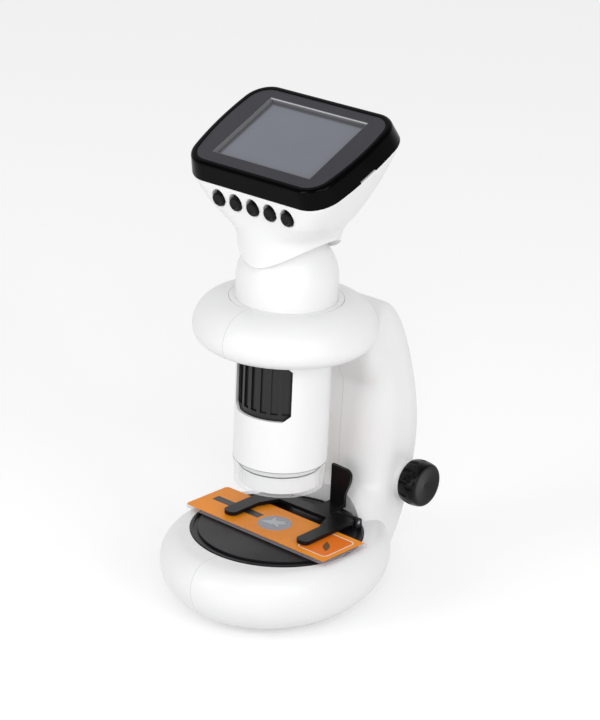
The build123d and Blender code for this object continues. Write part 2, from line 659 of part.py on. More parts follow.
def slide_outline(edge, end):
    """The slide seen from above, drawn in by an edge all round and more at the right end."""
    shift = (edge - end) / 2
    outline = Pos(shift, 0) * Rectangle(SLIDE_LENGTH - edge - end, SLIDE_WIDTH - 2 * edge)
    outline = fillet(outline.vertices().group_by(Axis.X)[0], SLIDE_CORNER - edge)
    reach = SLIDE_LENGTH / 2 + SLIDE_NOTCH_RADIUS - SLIDE_NOTCH_DEPTH
    return outline - Pos(reach, 0) * Circle(SLIDE_NOTCH_RADIUS + edge)


def slide_plate():
    return SLIDE_PLACE * extrude(slide_outline(0, 0), SLIDE_THICKNESS)


def slide_label():
    """The printed film, with a round hole over the specimen."""
    outline = slide_outline(LABEL_EDGE, LABEL_END) - Circle(SLIDE_WINDOW_RADIUS)
    return SLIDE_PLACE * Pos(0, 0, SLIDE_THICKNESS) * extrude(outline, LABEL_THICKNESS)


def slide_window():
    """The clear cover over the specimen."""
    return SLIDE_PLACE * Pos(0, 0, SLIDE_THICKNESS) * extrude(Circle(SLIDE_WINDOW_RADIUS), LABEL_THICKNESS)


# ---------------------------------------------------------------- handset
def barrel_shell():
    """The white tube with the window in front of the focus wheel."""
    spigot = NECK_RADIUS - NECK_WALL
    top = NECK_FOOT_Z + SPIGOT_LENGTH
    shoulder = WHEEL_HIGH_Z + BODY_GAP
    shell = rod(BARREL_RADIUS, BARREL_SEAM_Z, NECK_FOOT_Z) + rod(spigot, NECK_FOOT_Z, top)
    shell -= rod(BARREL_BORE, BARREL_SEAM_Z - 1, shoulder)
    shell -= rod(BOARD_RADIUS, shoulder - 1, top + 1)
    height = FOCUS_WINDOW_HIGH_Z - FOCUS_WINDOW_LOW_Z
    half = BARREL_RADIUS * sin(radians(FOCUS_WINDOW_ANGLE / 2))
    opening = Plane.XZ * Pos(0, FOCUS_WINDOW_LOW_Z + height / 2) * Rectangle(2 * half, height)
    opening = chamfer(opening.vertices(), FOCUS_WINDOW_CORNER)
    cutter = extrude(opening, BARREL_RADIUS + 2)
    return shell - Rot(0, 0, FOCUS_WINDOW_TURN) * cutter


def wheel_retainer():
    """The ring pressed into the barrel under the focus wheel."""
    return tube(BARREL_BORE, RETAINER_BORE, RETAINER_LOW_Z, RETAINER_LOW_Z + RETAINER_THICKNESS)


def focus_wheel():
    """The ribbed wheel: full rims above and below, flutes between the ribs."""
    wheel = tube(WHEEL_RADIUS, WHEEL_BORE, WHEEL_LOW_Z, WHEEL_HIGH_Z)
    low = FOCUS_WINDOW_LOW_Z + WHEEL_OVERLAP
    high = FOCUS_WINDOW_HIGH_Z - WHEEL_OVERLAP
    pitch = 2 * pi * WHEEL_RADIUS / WHEEL_RIBS
    flute = bar(
        ((WHEEL_RIB_WIDTH - pitch) / 2, (pitch - WHEEL_RIB_WIDTH) / 2),
        (-WHEEL_RADIUS - WHEEL_RIB_DEPTH, -WHEEL_RADIUS + WHEEL_RIB_DEPTH),
        (low, high))
    for step in range(WHEEL_RIBS):
        wheel -= Rot(0, 0, FOCUS_WINDOW_TURN + (step + 0.5) * 360 / WHEEL_RIBS) * flute
    return wheel


def beside_axis(x):
    """Both places of a guide rod."""
    return [Pos(side * x, 0, 0) for side in (-1, 1)]


def lens_barrel():
    """The carrier that the wheel screws up and down, guided by two rods."""
    bore = LENS_BARREL_RADIUS - LENS_BARREL_WALL
    flange_top = LENS_FLANGE_Z + LENS_FLANGE_THICKNESS
    carrier = tube(LENS_BARREL_RADIUS, bore, LENS_BARREL_LOW_Z, LENS_BARREL_HIGH_Z)
    carrier += tube(WHEEL_BORE - BODY_GAP, bore, LENS_FLANGE_Z, flange_top)
    for place in beside_axis(GUIDE_ROD_X):
        carrier -= place * rod(GUIDE_ROD_RADIUS + RUN_CLEARANCE, LENS_FLANGE_Z - 1, flange_top + 1)
    return carrier


def objective_lens():
    low = LENS_BARREL_LOW_Z + LENS_SETBACK
    lens = rod(LENS_BARREL_RADIUS - LENS_BARREL_WALL, low, low + LENS_THICKNESS)
    return fillet(lens.edges(), LENS_THICKNESS * 0.35)


def guide_rods():
    one = rod(GUIDE_ROD_RADIUS, RETAINER_LOW_Z, BOARD_Z)
    return Compound([place * one for place in beside_axis(GUIDE_ROD_X)])


def rod_plate():
    """The spoked plate across the retainer that holds the guide rods' feet."""
    low, high = RETAINER_LOW_Z, RETAINER_LOW_Z + RETAINER_THICKNESS
    bore = LENS_BARREL_RADIUS + BODY_GAP
    plate = rod(bore + ROD_PLATE_RIM, low, high)
    half = GUIDE_ROD_RADIUS + ROD_PLATE_RIM / 2
    plate += bar((-RETAINER_BORE, RETAINER_BORE), (-half, half), (low, high)) & rod(RETAINER_BORE, low, high)
    plate -= rod(bore, low - 1, high + 1)
    for place in beside_axis(GUIDE_ROD_X):
        plate -= place * rod(GUIDE_ROD_RADIUS, low - 1, high + 1)
    return plate


def sensor_board():
    return rod(BOARD_RADIUS, BOARD_Z, BOARD_Z + BOARD_THICKNESS)


def image_sensor():
    half = SENSOR_SIZE / 2
    return bar((-half, half), (-half, half), (BOARD_Z - SENSOR_THICKNESS, BOARD_Z))


def clear_tip():
    """The clear skirt round the lamps, tapered to its open foot."""
    spigot_top = BARREL_SEAM_Z + SPIGOT_LENGTH
    outer = turned_points(
        (0, TIP_Z), (TIP_FOOT_RADIUS, TIP_Z), (BARREL_RADIUS, BARREL_SEAM_Z - TIP_BAND),
        (BARREL_RADIUS, BARREL_SEAM_Z), (BARREL_BORE, BARREL_SEAM_Z),
        (BARREL_BORE, spigot_top), (0, spigot_top))
    return outer - rod(TIP_FOOT_RADIUS - TIP_WALL, TIP_Z - 1, spigot_top + 1)


def reflector_cup():
    """The white cup that throws the lamps' light down."""
    return tube(CUP_RADIUS, CUP_RADIUS - CUP_WALL, TIP_Z + CUP_RAISE, LAMP_SEAT_Z)


def lamp_board():
    return tube(TIP_FOOT_RADIUS - TIP_WALL, LENS_BARREL_RADIUS, LAMP_SEAT_Z, LAMP_SEAT_Z + BOARD_THICKNESS)


def ring_lamps():
    lamp = Pos(LED_CIRCLE_RADIUS, 0, LAMP_SEAT_Z - LED_HEIGHT) * extrude(Circle(LED_RADIUS), LED_HEIGHT)
    lamp = fillet(lamp.edges().group_by(Axis.Z)[0], LED_RADIUS * 0.6)
    return Compound([Rot(0, 0, step * 360 / LED_COUNT) * lamp for step in range(LED_COUNT)])


def half_space(plane, offset, above):
    """A big block on one side of a plane, for cutting."""
    reach = 300.0
    shift = offset + (reach / 2 if above else -reach / 2)
    return plane * Pos(0, 0, shift) * Box(reach, reach, reach)


def neck_shell():
    """The neck and its dome, cut off on the sloping swivel plane."""
    def form(radius):
        return rod(radius, NECK_FOOT_Z, DOME_CENTRE_Z) + Pos(0, 0, DOME_CENTRE_Z) * Sphere(radius)
    outer = form(NECK_RADIUS) & half_space(SWIVEL, 0, False)
    outer &= rod(NECK_RADIUS + 1, NECK_FOOT_Z, DOME_CENTRE_Z + NECK_RADIUS)
    inner = form(NECK_RADIUS - NECK_WALL) & half_space(SWIVEL, -HEAD_WALL, False)
    return outer - inner - SWIVEL * rod(PIVOT_RADIUS + RUN_CLEARANCE, -HEAD_WALL - 1, 1)


def swivel_pivot():
    """The hollow pivot that hangs from the head and turns in the neck."""
    low = -HEAD_WALL - RUN_CLEARANCE * 2 - PIVOT_FLANGE_THICKNESS
    high = BODY_GAP + HEAD_WALL
    pivot = rod(PIVOT_RADIUS, low, high) + rod(PIVOT_FLANGE_RADIUS, low, low + PIVOT_FLANGE_THICKNESS)
    return SWIVEL * (pivot - rod(PIVOT_RADIUS - PIVOT_WALL, low - 1, high + 1))


# ---------------------------------------------------------------- head
def bowed_outline(half_width, back_half_width, front_half_width, back, front, corner):
    """An outline with a straight front and back, bowed sides and round corners."""
    left_bow = ThreePointArc((-back_half_width, back), (-half_width, 0), (-front_half_width, -front))
    right_bow = ThreePointArc((front_half_width, -front), (half_width, 0), (back_half_width, back))
    outline = Wire([
        left_bow,
        Line((-front_half_width, -front), (front_half_width, -front)),
        right_bow,
        Line((back_half_width, back), (-back_half_width, back)),
    ])
    face = Face(outline)
    return fillet(face.vertices(), corner)


def bezel_outline(grow):
    return bowed_outline(
        BEZEL_HALF_WIDTH + grow, BEZEL_BACK_HALF_WIDTH + grow, BEZEL_FRONT_HALF_WIDTH + grow,
        BEZEL_BACK + grow, BEZEL_FRONT + grow, BEZEL_CORNER + grow)


def shell_mid_outline(inset):
    return bowed_outline(
        SHELL_MID_HALF_WIDTH - inset, SHELL_MID_BACK_HALF_WIDTH - inset, SHELL_MID_FRONT_HALF_WIDTH - inset,
        SHELL_MID_BACK - inset, SHELL_MID_FRONT - inset, SHELL_MID_CORNER - inset)


def round_outline(radius):
    """A circle in eight arcs, to match the eight edges of the bowed outlines."""
    side = 20
    arcs = []
    for quarter in range(4):
        start = quarter * 90 - side / 2
        arcs.append(CenterArc((0, 0), radius, start, side))
        arcs.append(CenterArc((0, 0), radius, start + side, 90 - side))
    return Face(Wire(arcs))


def head_form(inset=0.0):
    """The funnel from the round skirt to the screen's outline."""
    neck = Pos(0, 0, SKIRT_TOP_Z) * round_outline(SKIRT_RADIUS - inset)
    middle = SCREEN * Pos(0, 0, -SHELL_MID_DROP) * shell_mid_outline(inset)
    top = SCREEN * Pos(0, 0, BEZEL_FOOT) * bezel_outline(BEZEL_FLARE - inset)
    return loft([neck, middle, top])


def skirt_form(radius, floor):
    """The round foot of the head, above a plane that lies over the swivel plane."""
    return rod(radius, DOME_CENTRE_Z, SKIRT_TOP_Z) & half_space(SWIVEL, floor, True)


def head_shell():
    """The white funnel, hollow and open at the top, with its floor on the swivel."""
    floor = BODY_GAP + HEAD_WALL
    skirt = skirt_form(SKIRT_RADIUS, BODY_GAP)
    skirt = fillet(skirt.edges().group_by(Axis.Z)[0], SKIRT_EDGE_ROUND)
    inside = skirt_form(SKIRT_RADIUS - HEAD_WALL, floor) + head_form(HEAD_WALL)
    shell = skirt + head_form() - inside
    shell -= SWIVEL * rod(PIVOT_RADIUS, -1, floor + 1)
    for place in button_places():
        shell -= place * rod(BUTTON_RADIUS + BUTTON_GAP, -3 * HEAD_WALL, 2 * HEAD_WALL)
    return shell


def finger_notch():
    """A shallow nick in the foot of the bezel's right side."""
    left = BEZEL_HALF_WIDTH + BEZEL_FLARE - NOTCH_DEPTH
    half = NOTCH_LENGTH / 2
    return bar(
        (left, BEZEL_HALF_WIDTH + 2 * BEZEL_FLARE),
        (NOTCH_Y - half, NOTCH_Y + half),
        (BEZEL_FOOT - 1, BEZEL_FOOT + NOTCH_HEIGHT))


def bezel():
    """The glossy black frame round the screen."""
    foot, top = bezel_outline(BEZEL_FLARE), bezel_outline(0)
    frame = loft([Pos(0, 0, BEZEL_FOOT) * foot, Pos(0, 0, BEZEL_TOP) * top])
    frame = fillet(frame.edges().group_by(Axis.Z)[-1], BEZEL_EDGE_ROUND)
    frame -= extrude(bezel_outline(-PANEL_INSET), BEZEL_DEPTH)
    lcd_width, lcd_height = SCREEN_WIDTH + 2 * LCD_BORDER, SCREEN_HEIGHT + 2 * LCD_BORDER
    frame -= Pos(0, 0, -LCD_THICKNESS / 2) * Box(lcd_width, lcd_height, LCD_THICKNESS)
    ledge = 2 * LCD_LEDGE
    frame -= Pos(0, 0, -BEZEL_DEPTH / 2) * Box(lcd_width - ledge, lcd_height - ledge, BEZEL_DEPTH)
    return SCREEN * (frame - finger_notch())


def screen_panel():
    """The dark panel with the screen's opening."""
    panel = extrude(bezel_outline(-PANEL_INSET - PANEL_GAP), SCREEN_RECESS)
    opening = extrude(Rectangle(SCREEN_WIDTH, SCREEN_HEIGHT), SCREEN_RECESS + 2)
    return SCREEN * (panel - Pos(0, 0, -1) * opening)


def lcd_panel():
    width = SCREEN_WIDTH + 2 * (LCD_BORDER - PANEL_GAP)
    height = SCREEN_HEIGHT + 2 * (LCD_BORDER - PANEL_GAP)
    return SCREEN * Pos(0, 0, -LCD_THICKNESS) * extrude(Rectangle(width, height), LCD_THICKNESS)


def main_board():
    low = BEZEL_FOOT - BOARD_THICKNESS
    return SCREEN * Pos(0, 0, low) * extrude(Rectangle(MAIN_BOARD_WIDTH, MAIN_BOARD_HEIGHT), BOARD_THICKNESS)


def battery():
    low = BEZEL_FOOT - BOARD_THICKNESS - BATTERY_THICKNESS
    return SCREEN * Pos(0, 0, low) * extrude(Rectangle(BATTERY_WIDTH, BATTERY_HEIGHT), BATTERY_THICKNESS)


def front_face():
    """A plane on the head's front face, its x along the row of buttons and its z outwards."""
    outward = (0, -cos(radians(BUTTON_LEAN)), -sin(radians(BUTTON_LEAN)))
    return Plane(origin=(0, BUTTON_FACE_Y, BUTTON_Z), x_dir=(1, 0, 0), z_dir=outward)


def button_places():
    middle = (BUTTON_COUNT - 1) / 2
    return [front_face() * Pos((index - middle) * BUTTON_PITCH, 0, 0) for index in range(BUTTON_COUNT)]


def button(place):
    """A round key with a domed edge."""
    tail = HEAD_WALL + BUTTON_TAIL
    key = rod(BUTTON_RADIUS, -tail, BUTTON_PROUD)
    key = fillet(key.edges().group_by(Axis.Z)[-1], BUTTON_DOME)
    return place * key


def build_all():
    shell = stand_shell()
    pieces = {
        "stand_shell_left": half_of(shell, -1),
        "stand_shell_right": half_of(shell, 1),
        "base_plate": foot_oval(SEAT_GAP, PAD_THICKNESS, BALLAST_Z),
        "base_pad": foot_oval(SEAT_GAP, 0, PAD_THICKNESS),
        "ballast": foot_oval(BALLAST_INSET, BALLAST_Z, BALLAST_Z + BALLAST_THICKNESS),
        "turn_ring": turn_ring(),
        "shaft_bushes": shaft_bushes(),
        "stage_disc": stage_disc(),
        "stage_window": rod(DIFFUSER_RADIUS, STAGE_FIELD_Z - DIFFUSER_THICKNESS, STAGE_FIELD_Z),
        "stage_carriage": stage_carriage(),
        "stage_rack": stage_rack(),
        "knob_pinion": knob_pinion(),
        "knob_shaft": knob_shaft(),
        "knob_grip": knob_grip(),
        "knob_cap": knob_cap(),
        "clip_frame": clip_frame(),
        "clip_pins": clip_pins(),
        "slide_plate": slide_plate(),
        "slide_label": slide_label(),
        "slide_window": slide_window(),
        "barrel_shell": barrel_shell(),
        "wheel_retainer": wheel_retainer(),
        "focus_wheel": focus_wheel(),
        "lens_barrel": lens_barrel(),
        "objective_lens": objective_lens(),
        "guide_rods": guide_rods(),
        "rod_plate": rod_plate(),
        "sensor_board": sensor_board(),
        "image_sensor": image_sensor(),
        "clear_tip": clear_tip(),
        "reflector_cup": reflector_cup(),
        "lamp_board": lamp_board(),
        "ring_lamps": ring_lamps(),
        "neck_shell": neck_shell(),
        "swivel_pivot": swivel_pivot(),
        "head_shell": head_shell(),
        "bezel": bezel(),
        "screen_panel": screen_panel(),
        "lcd_panel": lcd_panel(),
        "main_board": main_board(),
        "battery": battery(),
    }
    for index, place in enumerate(button_places(), 1):
        pieces[f"button_{index}"] = button(place)
    return pieces


os.makedirs("parts", exist_ok=True)
for node, shape in build_all().items():
    export_step(shape, f"parts/{node}.step")
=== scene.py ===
import bpy
import bmesh
from math import cos, pi, radians, sin
from mathutils import Matrix, Vector


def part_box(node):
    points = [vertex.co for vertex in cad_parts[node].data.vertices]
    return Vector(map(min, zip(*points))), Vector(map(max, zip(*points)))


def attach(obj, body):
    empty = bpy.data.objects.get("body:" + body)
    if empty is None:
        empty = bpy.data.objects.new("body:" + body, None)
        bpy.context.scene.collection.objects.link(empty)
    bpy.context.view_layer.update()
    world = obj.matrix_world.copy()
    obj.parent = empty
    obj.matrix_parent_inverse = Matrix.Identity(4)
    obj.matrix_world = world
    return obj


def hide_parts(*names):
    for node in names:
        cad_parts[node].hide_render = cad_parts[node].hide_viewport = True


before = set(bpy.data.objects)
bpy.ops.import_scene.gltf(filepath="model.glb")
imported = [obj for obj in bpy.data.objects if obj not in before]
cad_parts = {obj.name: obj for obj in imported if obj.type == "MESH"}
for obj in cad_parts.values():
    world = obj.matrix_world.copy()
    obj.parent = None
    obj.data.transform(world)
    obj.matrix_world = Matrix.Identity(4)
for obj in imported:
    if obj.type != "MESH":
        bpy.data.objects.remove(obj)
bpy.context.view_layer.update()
scene = bpy.context.scene
scene.view_settings.view_transform = "Standard"

# ---------------------------------------------------------------- studio
# A product shot on a white sweep: a long lens looking down over the right front corner,
# a soft lamp on each side and a third just over the lens.
camera_place = Vector((0.59100, -0.69985, 0.45929))
camera_aim = Vector((0.01105, -0.00332, 0.11034))
camera_roll = radians(2.54)
camera_lens, film_height = 123.5, 36
lamp_aim = Vector((0, 0, 0.1))
tall_box, square_box = (0.5, 0.9), (0.5, 0.5)
floor_radius = 4
room_light = 0.62
mirrored_room, mirrored_paper = 0.16, 1.0
paper_white, paper_extra = 0.85, 0.30


def facing(place, aim):
    """Turns a camera or lamp at that place towards the aim."""
    return (aim - Vector(place)).to_track_quat("-Z", "Y").to_matrix().to_4x4()


camera_data = bpy.data.cameras.new("camera")
camera_data.sensor_fit = "VERTICAL"
camera_data.sensor_height = film_height
camera_data.lens = camera_lens
camera_data.clip_end = 20
camera = bpy.data.objects.new("camera", camera_data)
scene.collection.objects.link(camera)
roll = Matrix.Rotation(camera_roll, 4, "Z")
camera.matrix_world = Matrix.Translation(camera_place) @ facing(camera_place, camera_aim) @ roll
scene.camera = camera


def glow(tree, strength):
    """An even white light of that strength."""
    node = tree.nodes.new("ShaderNodeBackground")
    node.inputs["Color"].default_value = (1, 1, 1, 1)
    node.inputs["Strength"].default_value = strength
    return node


def mixed(tree, share, first, second):
    """The first shader, with that share of the second."""
    node = tree.nodes.new("ShaderNodeMixShader")
    tree.links.new(share, node.inputs[0])
    tree.links.new(first.outputs[0], node.inputs[1])
    tree.links.new(second.outputs[0], node.inputs[2])
    return node


def larger(tree, first, second):
    """The larger of two values."""
    node = tree.nodes.new("ShaderNodeMath")
    node.operation = "MAXIMUM"
    tree.links.new(first, node.inputs[0])
    tree.links.new(second, node.inputs[1])
    return node.outputs[0]


def ranged(tree, value, low, high, from_low=0.0, from_high=1.0):
    """The value, stretched to run from low to high."""
    node = tree.nodes.new("ShaderNodeMapRange")
    node.inputs["From Min"].default_value = from_low
    node.inputs["From Max"].default_value = from_high
    node.inputs["To Min"].default_value = low
    node.inputs["To Max"].default_value = high
    tree.links.new(value, node.inputs["Value"])
    return node.outputs[0]


# Surfaces are lit by an even room. Reflections see the white paper behind the object and
# the dimmer room in front of it. Looked at directly, the room is white.
world = bpy.data.worlds.new("studio")
scene.world = world
world.use_nodes = True
sky = world.node_tree
sky.nodes.clear()
room = sky.nodes.new("ShaderNodeTexCoord")
behind = sky.nodes.new("ShaderNodeVectorMath")
behind.operation = "DOT_PRODUCT"
behind.inputs[1].default_value = (camera_aim - camera_place).normalized()
sky.links.new(room.outputs["Generated"], behind.inputs[0])
mirrored = glow(sky, 1.0)
fade = ranged(
    sky, behind.outputs["Value"], mirrored_room, mirrored_paper, from_low=-0.2, from_high=0.5)
sky.links.new(fade, mirrored.inputs["Strength"])
rays = sky.nodes.new("ShaderNodeLightPath")
bounced = larger(sky, rays.outputs["Is Glossy Ray"], rays.outputs["Is Transmission Ray"])
lit = mixed(sky, bounced, glow(sky, room_light), mirrored)
seen = mixed(sky, rays.outputs["Is Camera Ray"], lit, glow(sky, 1.0))
world_out = sky.nodes.new("ShaderNodeOutputWorld")
sky.links.new(seen.outputs[0], world_out.inputs[0])


def lamp(name, place, size, power):
    """A soft box that looks at the middle of the object."""
    data = bpy.data.lights.new(name, "AREA")
    data.shape = "RECTANGLE"
    data.size, data.size_y = size
    data.energy = power
    holder = bpy.data.objects.new(name, data)
    scene.collection.objects.link(holder)
    holder.matrix_world = Matrix.Translation(place) @ facing(place, lamp_aim)


lamp("left_box", (-0.35, -1.35, 0.55), tall_box, 4.8)
lamp("right_box", (1.35, -0.45, 0.55), tall_box, 5.0)
lamp("lens_box", (0.85, -0.95, 0.75), square_box, 3.8)

# The floor is white paper. Where it is looked at or mirrored it is a little brighter than
# it lights the object.
sweep = bmesh.new()
bmesh.ops.create_circle(sweep, cap_ends=True, segments=96, radius=floor_radius)
floor_mesh = bpy.data.meshes.new("studio_floor")
sweep.to_mesh(floor_mesh)
sweep.free()
floor = bpy.data.objects.new("studio_floor", floor_mesh)
scene.collection.objects.link(floor)
floor_paper = bpy.data.materials.new("floor_paper")
floor_paper.use_nodes = True
paper = floor_paper.node_tree
paper.nodes.clear()
paper_plain = paper.nodes.new("ShaderNodeBsdfDiffuse")
paper_plain.inputs["Color"].default_value = (paper_white, paper_white, paper_white, 1)
paper_glow = paper.nodes.new("ShaderNodeEmission")
paper_glow.inputs["Strength"].default_value = paper_extra
paper_seen = paper.nodes.new("ShaderNodeAddShader")
paper.links.new(paper_plain.outputs[0], paper_seen.inputs[0])
paper.links.new(paper_glow.outputs[0], paper_seen.inputs[1])
rays = paper.nodes.new("ShaderNodeLightPath")
looked_at = larger(paper, rays.outputs["Is Camera Ray"], rays.outputs["Is Transmission Ray"])
looked_at = larger(paper, looked_at, rays.outputs["Is Glossy Ray"])
paper_out = paper.nodes.new("ShaderNodeOutputMaterial")
paper_mix = mixed(paper, looked_at, paper_plain, paper_seen)
paper.links.new(paper_mix.outputs[0], paper_out.inputs[0])
floor_mesh.materials.append(floor_paper)

# ---------------------------------------------------------------- stand
# The C-shaped stand is two white ABS half shells, moulded with a satin gloss and a very
# faint grain. They are joined down the middle, where the joint shows as a fine line.
white = (0.86, 0.86, 0.863)
joint_width = 0.00024
joint_shade = 0.76
cloud_size = 0.03
smear_size = 0.012
grain_size, grain_depth = 0.0006, 0.0001
ring_depth, ring_strength = 0.00006, 0.35
noise_low, noise_high = 0.3, 0.7                        # where most of a noise's values lie
FIRST_COLOUR, SECOND_COLOUR, MIXED_COLOUR = 6, 7, 2     # a colour Mix node's sockets


def new_material(name):
    """A material with its node tree and its main shader."""
    made = bpy.data.materials.new(name)
    made.use_nodes = True
    return made, made.node_tree, made.node_tree.nodes["Principled BSDF"]


def noise(tree, place, scale, detail):
    """Soft random values that stay put on the piece."""
    node = tree.nodes.new("ShaderNodeTexNoise")
    node.inputs["Scale"].default_value = scale
    node.inputs["Detail"].default_value = detail
    tree.links.new(place.outputs["Object"], node.inputs["Vector"])
    return node.outputs["Fac"]


def mixed_colour(tree, share, second):
    """A colour Mix node with its share and second colour."""
    node = tree.nodes.new("ShaderNodeMix")
    node.data_type = "RGBA"
    node.inputs[SECOND_COLOUR].default_value = [*second, 1]
    tree.links.new(share, node.inputs[0])
    return node


def bumped(tree, height, strength, depth):
    """A bump of that depth."""
    node = tree.nodes.new("ShaderNodeBump")
    node.inputs["Strength"].default_value = strength
    node.inputs["Distance"].default_value = depth
    tree.links.new(height, node.inputs["Height"])
    return node


def plastic(name, colour, roughness, tone=0.02, grain=0.05, smears=0.08, gloss=0.5,
            parting=0.0, turned=0.0):
    """Moulded plastic: slightly uneven colour, uneven shine and a fine grain from the mould.

    parting is the width of a fine joint line down the middle, and turned is the pitch of
    fine rings round the upright axis.
    """
    made, tree, shader = new_material(name)
    shader.inputs["Specular IOR Level"].default_value = gloss
    place = tree.nodes.new("ShaderNodeTexCoord")
    clouds = noise(tree, place, 1 / cloud_size, detail=2)
    clouds = ranged(tree, clouds, 0, 1, noise_low, noise_high)
    shade = mixed_colour(tree, clouds, [min(1, c * (1 + tone)) for c in colour])
    shade.inputs[FIRST_COLOUR].default_value = [c * (1 - tone) for c in colour] + [1]
    if parting:
        aside = tree.nodes.new("ShaderNodeSeparateXYZ")
        tree.links.new(place.outputs["Object"], aside.inputs[0])
        line = tree.nodes.new("ShaderNodeMath")
        line.operation = "COMPARE"
        line.inputs[1].default_value = 0
        line.inputs[2].default_value = parting / 2
        tree.links.new(aside.outputs["X"], line.inputs[0])
        joint = mixed_colour(tree, line.outputs[0], [joint_shade * c for c in colour])
        tree.links.new(shade.outputs[MIXED_COLOUR], joint.inputs[FIRST_COLOUR])
        shade = joint
    tree.links.new(shade.outputs[MIXED_COLOUR], shader.inputs["Base Color"])
    shine = ranged(
        tree, noise(tree, place, 1 / smear_size, detail=5),
        roughness * (1 - smears), roughness * (1 + smears), noise_low, noise_high)
    tree.links.new(shine, shader.inputs["Roughness"])
    bump = bumped(tree, noise(tree, place, 1 / grain_size, detail=2), grain, grain_depth)
    if turned:
        rings = tree.nodes.new("ShaderNodeTexWave")
        rings.wave_type = "RINGS"
        rings.rings_direction = "Z"
        rings.inputs["Scale"].default_value = pi / (10 * turned)
        tree.links.new(place.outputs["Object"], rings.inputs["Vector"])
        ringed = bumped(tree, rings.outputs["Fac"], ring_strength, ring_depth)
        tree.links.new(bump.outputs[0], ringed.inputs["Normal"])
        bump = ringed
    tree.links.new(bump.outputs[0], shader.inputs["Normal"])
    return made


def finish(material, *nodes):
    """Gives CAD nodes their material."""
    for node in nodes:
        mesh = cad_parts[node].data
        mesh.materials.clear()
        mesh.materials.append(material)


joined_abs = plastic("joined_abs", white, 0.36, tone=0.008, grain=0.04, parting=joint_width)
finish(joined_abs, "stand_shell_left", "stand_shell_right")

# ---------------------------------------------------------------- turning ring
# The ring is one white ABS moulding that lines the stand's collar and turns in it.
# The handset stands on its lip and is lifted out of it by hand.
white_abs = plastic("white_abs", white, 0.36, tone=0.008, grain=0.04)
finish(white_abs, "turn_ring")

# ---------------------------------------------------------------- foot
# A black ABS plate closes the foot from below and carries a steel weight that keeps the
# stand from tipping. A soft rubber pad is glued under the plate.
black_abs = plastic("black_abs", (0.010, 0.010, 0.011), 0.42, tone=0.2, grain=0.15, gloss=0.25)
foot_rubber = plastic("foot_rubber", (0.022, 0.022, 0.022), 0.75, tone=0.25, grain=0.4)
dull_steel = plastic("dull_steel", (0.45, 0.45, 0.46), 0.38, tone=0.06, grain=0.1)
dull_steel.node_tree.nodes["Principled BSDF"].inputs["Metallic"].default_value = 1
finish(black_abs, "base_plate")
finish(foot_rubber, "base_pad")
finish(dull_steel, "ballast")

# ---------------------------------------------------------------- stage
# The stage is a black ABS disc with a raised round field and fine rings from the mould.
# A frosted disc is let into its middle for light from below.
stage_black = plastic(
    "stage_black", (0.009, 0.009, 0.011), 0.32, tone=0.2, grain=0.08, gloss=0.2, turned=0.0009)
frosted = plastic("frosted_white", (0.62, 0.66, 0.70), 0.6, tone=0.02, grain=0.2)
finish(stage_black, "stage_disc")
finish(frosted, "stage_window")

# ---------------------------------------------------------------- stage drive
# A black ABS post carries the stage. Its beam runs through the foot to a slider in the arm,
# with a rack on its back. A pinion on the knob's steel shaft lifts the rack, and the shaft
# turns in two black bushes pressed into the shells.
finish(black_abs, "stage_carriage", "stage_rack", "knob_pinion", "shaft_bushes")
finish(dull_steel, "knob_shaft")

# ---------------------------------------------------------------- stage knob
# The knob is one glossy black moulding with deep flutes, pressed on to the shaft.
# A smooth disc with a shallow cone is let into its face.
knob_black = plastic(
    "knob_black", (0.004, 0.004, 0.005), 0.19, tone=0.2, grain=0.06, gloss=0.15)
cap_black = plastic(
    "cap_black", (0.006, 0.006, 0.0075), 0.22, tone=0.2, grain=0.05, gloss=0.17)
finish(knob_black, "knob_grip")
finish(cap_black, "knob_cap")

# ---------------------------------------------------------------- clip
# The slide clip is one black nylon moulding: two arms, a bridge and a thumb lever.
# It turns on two steel pins in the stage's ears.
clip_nylon = plastic("clip_nylon", (0.006, 0.006, 0.007), 0.30, tone=0.2, grain=0.12, gloss=0.17)
finish(clip_nylon, "clip_frame")
finish(dull_steel, "clip_pins")

# ---------------------------------------------------------------- specimen slide
# The slide is a clear plastic plate with a printed orange film stuck on its top.
# A round hole in the film leaves a window of clear resin over the specimen.
clear_smear_scale, clear_smears = 120, 0.3
haze_blend = 0.35


def clear_plastic(name, colour, roughness, face_on, edge_on):
    """Clear plastic that shows what lies behind it, and hazes towards its edges."""
    made, tree, shader = new_material(name)
    shader.inputs["Base Color"].default_value = (*colour, 1)
    place = tree.nodes.new("ShaderNodeTexCoord")
    smears = noise(tree, place, clear_smear_scale, detail=4)
    shine = ranged(tree, smears, (1 - clear_smears) * roughness, (1 + clear_smears) * roughness)
    tree.links.new(shine, shader.inputs["Roughness"])
    slant = tree.nodes.new("ShaderNodeLayerWeight")
    slant.inputs["Blend"].default_value = haze_blend
    haze = ranged(tree, slant.outputs["Facing"], face_on, edge_on)
    tree.links.new(haze, shader.inputs["Alpha"])
    return made


slide_clear = clear_plastic("slide_clear", (0.62, 0.58, 0.63), 0.10, 0.14, 0.55)
orange_film = plastic("orange_film", (0.93, 0.30, 0.016), 0.3, tone=0.05, smears=0.2, gloss=0.14)
# The window's blue-grey is painted light: an opaque colour standing in for the lit frosted disc
# seen through the clear resin.
painted_window = plastic("painted_window_view", (0.30, 0.32, 0.375), 0.18, tone=0.12, grain=0.02)
finish(slide_clear, "slide_plate")
finish(orange_film, "slide_label")
finish(painted_window, "slide_window")

